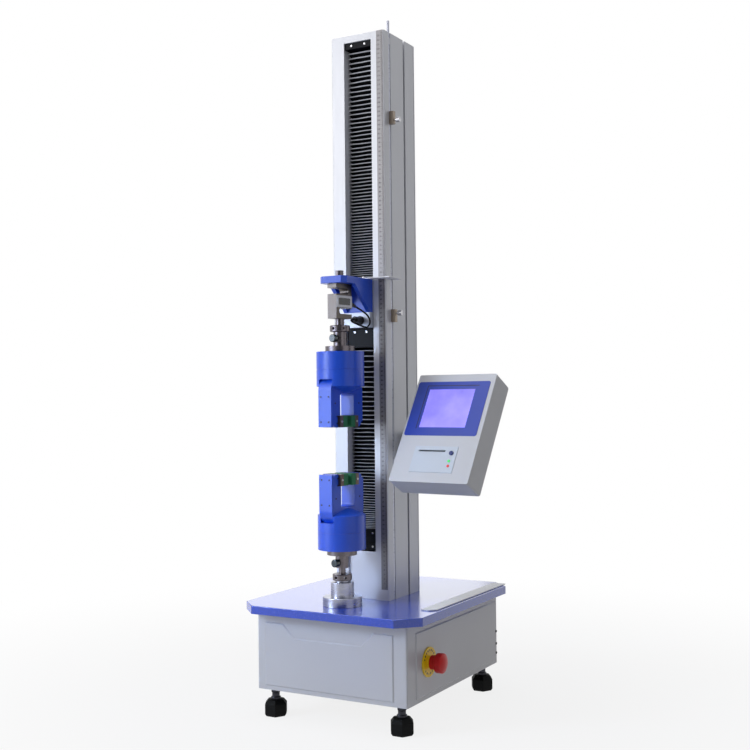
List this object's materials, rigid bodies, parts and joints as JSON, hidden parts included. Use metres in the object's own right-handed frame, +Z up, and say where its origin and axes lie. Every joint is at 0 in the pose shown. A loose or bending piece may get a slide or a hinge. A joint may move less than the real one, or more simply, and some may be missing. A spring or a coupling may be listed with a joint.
{
  "type": "universal testing machine",
  "caption": "Single-column table-top universal testing machine with pneumatic jaw grips, load cell, bellows-covered column, limit stops, tilted display and emergency stop.",
  "frame": {"origin": "bottom centre of the overall box, on the surface that the feet stand on", "axes": "+Z up along the column; the operator stands at -Y; the display is on the +X side"},
  "size_m": [0.5454, 0.52, 1.547],
  "materials": {
    "cream_paint": "satin powder coat",
    "alloy_profile": "anodised satin",
    "blue_paint": "gloss",
    "black_plate": "matte black",
    "bellows_cloth": "folded black cloth",
    "scale_metal": "brushed grey",
    "steel": "turned steel",
    "bright_steel": "polished",
    "stop_bronze": "dark anodised",
    "black_plastic": "moulded",
    "rubber": "matte",
    "estop_yellow": "satin",
    "estop_red": "gloss",
    "display_white": "satin",
    "display_blue": "film",
    "screen_glass": "gloss"
  },
  "bodies": {
    "frame": {"cabinet_shell": "cream_paint", "cabinet_panels": "cream_paint", "rear_panel": "cream_paint", "power_inlet": "black_plastic", "table_top": "blue_paint", "column_profiles": "alloy_profile", "column_covers": "cream_paint", "top_plate": "alloy_profile", "bellows_plates": "black_plate", "scale_strip": "scale_metal", "guide_rails": "steel", "upper_bellows": "bellows_cloth", "lower_bellows": "bellows_cloth", "drive_plate": "alloy_profile", "drive_motor": "black_plate", "drive_belt": "rubber", "base_mount": "bright_steel", "lower_adapter": "steel", "lower_grip_body": "blue_paint", "lower_grip_covers": "blue_paint", "estop_plate": "estop_yellow", "display_bracket": "black_plate"},
    "crosshead": {"carriage": "alloy_profile", "crosshead_arm": "blue_paint", "bellows_bracket": "black_plate", "striker_plate": "bright_steel", "load_cell": "steel", "load_cell_cover": "black_plastic", "cell_cable": "rubber", "cable_ends": "black_plastic", "upper_adapter": "steel", "upper_grip_body": "blue_paint", "upper_grip_covers": "blue_paint"},
    "ball_screw": {"ball_screw": "steel"},
    "motor_pulley": {"motor_pulley": "steel"},
    "lower_ring": {"lower_lock_ring": "steel"},
    "upper_ring": {"upper_lock_ring": "steel"},
    "lower_pin": {"lower_pin": "black_plastic"},
    "upper_pin": {"upper_pin": "black_plastic"},
    "lower_front_jaw": {"lower_front_jaw": "stop_bronze"},
    "lower_rear_jaw": {"lower_rear_jaw": "stop_bronze"},
    "upper_front_jaw": {"upper_front_jaw": "stop_bronze"},
    "upper_rear_jaw": {"upper_rear_jaw": "stop_bronze"},
    "limit_rod": {"limit_rod": "steel"},
    "upper_stop": {"upper_stop": "stop_bronze"},
    "lower_stop": {"lower_stop": "stop_bronze"},
    "upper_thumb": {"upper_stop_screw": "black_plastic"},
    "lower_thumb": {"lower_stop_screw": "black_plastic"},
    "estop_stem": {"estop_stem": "estop_red"},
    "estop_head": {"estop_head": "estop_red"},
    "display_arm": {"display_arm": "black_plate"},
    "display": {"display_housing": "display_white", "display_bezel": "display_blue", "display_screen": "screen_glass"},
    "printer_door": {"printer_door": "display_white"},
    "feed_button": {"feed_button": "display_blue"},
    "foot_1": {"foot_1": "rubber"},
    "foot_2": {"foot_2": "rubber"},
    "foot_3": {"foot_3": "rubber"},
    "foot_4": {"foot_4": "rubber"}
  },
  "joints": [
    {"name": "crosshead_travel", "type": "slide", "parent": "frame", "child": "crosshead", "axis": [0, 0, 1], "range_m": [-0.06, 0.34], "deforming": ["lower_bellows", "upper_bellows"]},
    {"name": "screw_turn", "type": "hinge", "parent": "frame", "child": "ball_screw", "pos_m": [-0.05269, -0.008, 0.25], "axis": [0, 0, 1], "range_deg": [-2200, 12300]},
    {"name": "motor_turn", "type": "hinge", "parent": "frame", "child": "motor_pulley", "pos_m": [-0.05269, 0.132, 0.088], "axis": [0, 0, 1], "range_deg": [-4400, 24600]},
    {"name": "lower_ring_turn", "type": "hinge", "parent": "frame", "child": "lower_ring", "pos_m": [-0.05269, -0.167, 0.27], "axis": [0, 0, 1], "continuous": true},
    {"name": "upper_ring_turn", "type": "hinge", "parent": "crosshead", "child": "upper_ring", "pos_m": [-0.05269, -0.167, 0.8718], "axis": [0, 0, 1], "continuous": true},
    {"name": "lower_pin_slide", "type": "slide", "parent": "frame", "child": "lower_pin", "axis": [-0.1736, -0.9848, 0], "range_m": [0, 0.03]},
    {"name": "upper_pin_slide", "type": "slide", "parent": "crosshead", "child": "upper_pin", "axis": [-0.1736, -0.9848, 0], "range_m": [0, 0.03]},
    {"name": "lower_front_jaw_slide", "type": "slide", "parent": "frame", "child": "lower_front_jaw", "axis": [0.1736, 0.9848, 0], "range_m": [0, 0.0057]},
    {"name": "lower_rear_jaw_slide", "type": "slide", "parent": "frame", "child": "lower_rear_jaw", "axis": [-0.1736, -0.9848, 0], "range_m": [0, 0.0057]},
    {"name": "upper_front_jaw_slide", "type": "slide", "parent": "crosshead", "child": "upper_front_jaw", "axis": [0.1736, 0.9848, 0], "range_m": [0, 0.0057]},
    {"name": "upper_rear_jaw_slide", "type": "slide", "parent": "crosshead", "child": "upper_rear_jaw", "axis": [-0.1736, -0.9848, 0], "range_m": [0, 0.0057]},
    {"name": "limit_rod_slide", "type": "slide", "parent": "frame", "child": "limit_rod", "axis": [0, 0, 1], "range_m": [-0.003, 0.003], "stiffness_N_per_m": 4000},
    {"name": "upper_stop_slide", "type": "slide", "parent": "limit_rod", "child": "upper_stop", "axis": [0, 0, 1], "range_m": [-0.003, 0.15]},
    {"name": "lower_stop_slide", "type": "slide", "parent": "limit_rod", "child": "lower_stop", "axis": [0, 0, 1], "range_m": [-0.38, 0.003]},
    {"name": "upper_thumb_turn", "type": "hinge", "parent": "upper_stop", "child": "upper_thumb", "pos_m": [0.0153, -0.053, 1.321], "axis": [1, 0, 0], "continuous": true},
    {"name": "lower_thumb_turn", "type": "hinge", "parent": "lower_stop", "child": "lower_thumb", "pos_m": [0.0153, -0.053, 0.8878], "axis": [1, 0, 0], "continuous": true},
    {"name": "estop_press", "type": "slide", "parent": "frame", "child": "estop_stem", "axis": [1, 0, 0], "range_m": [-0.005, 0]},
    {"name": "estop_twist", "type": "hinge", "parent": "estop_stem", "child": "estop_head", "pos_m": [0.13331, -0.129, 0.1395], "axis": [1, 0, 0], "range_deg": [0, 30], "stiffness_Nm_per_rad": 0.5},
    {"name": "display_swivel", "type": "hinge", "parent": "frame", "child": "display_arm", "pos_m": [0.0473, 0.015, 0.59], "axis": [0, 0, 1], "range_deg": [-10, 35]},
    {"name": "display_tilt_joint", "type": "hinge", "parent": "display_arm", "child": "display", "pos_m": [0.17212, -0.02989, 0.59008], "axis": [0.9945, -0.1045, 0], "range_deg": [-15, 20]},
    {"name": "printer_door_hinge", "type": "hinge", "parent": "display", "child": "printer_door", "pos_m": [0.10544, -0.15252, 0.54287], "axis": [0.9945, -0.1045, 0], "range_deg": [0, 95]},
    {"name": "feed_button_press", "type": "slide", "parent": "printer_door", "child": "feed_button", "axis": [0.0905, 0.8613, -0.5], "range_m": [0, 0.001], "stiffness_N_per_m": 800},
    {"name": "foot_1_turn", "type": "hinge", "parent": "frame", "child": "foot_1", "pos_m": [-0.21069, -0.194, 0], "axis": [0, 0, 1], "continuous": true},
    {"name": "foot_2_turn", "type": "hinge", "parent": "frame", "child": "foot_2", "pos_m": [0.1053, -0.194, 0], "axis": [0, 0, 1], "continuous": true},
    {"name": "foot_3_turn", "type": "hinge", "parent": "frame", "child": "foot_3", "pos_m": [-0.21069, 0.212, 0], "axis": [0, 0, 1], "continuous": true},
    {"name": "foot_4_turn", "type": "hinge", "parent": "frame", "child": "foot_4", "pos_m": [0.1053, 0.212, 0], "axis": [0, 0, 1], "continuous": true}
  ],
  "couplings": [
    {"joint": "screw_turn", "follows": "crosshead_travel", "rad_per_m": 628.32},
    {"joint": "motor_turn", "follows": "crosshead_travel", "rad_per_m": 1256.6},
    {"joint": "lower_rear_jaw_slide", "follows": "lower_front_jaw_slide", "ratio": 1},
    {"joint": "upper_rear_jaw_slide", "follows": "upper_front_jaw_slide", "ratio": 1}
  ]
}
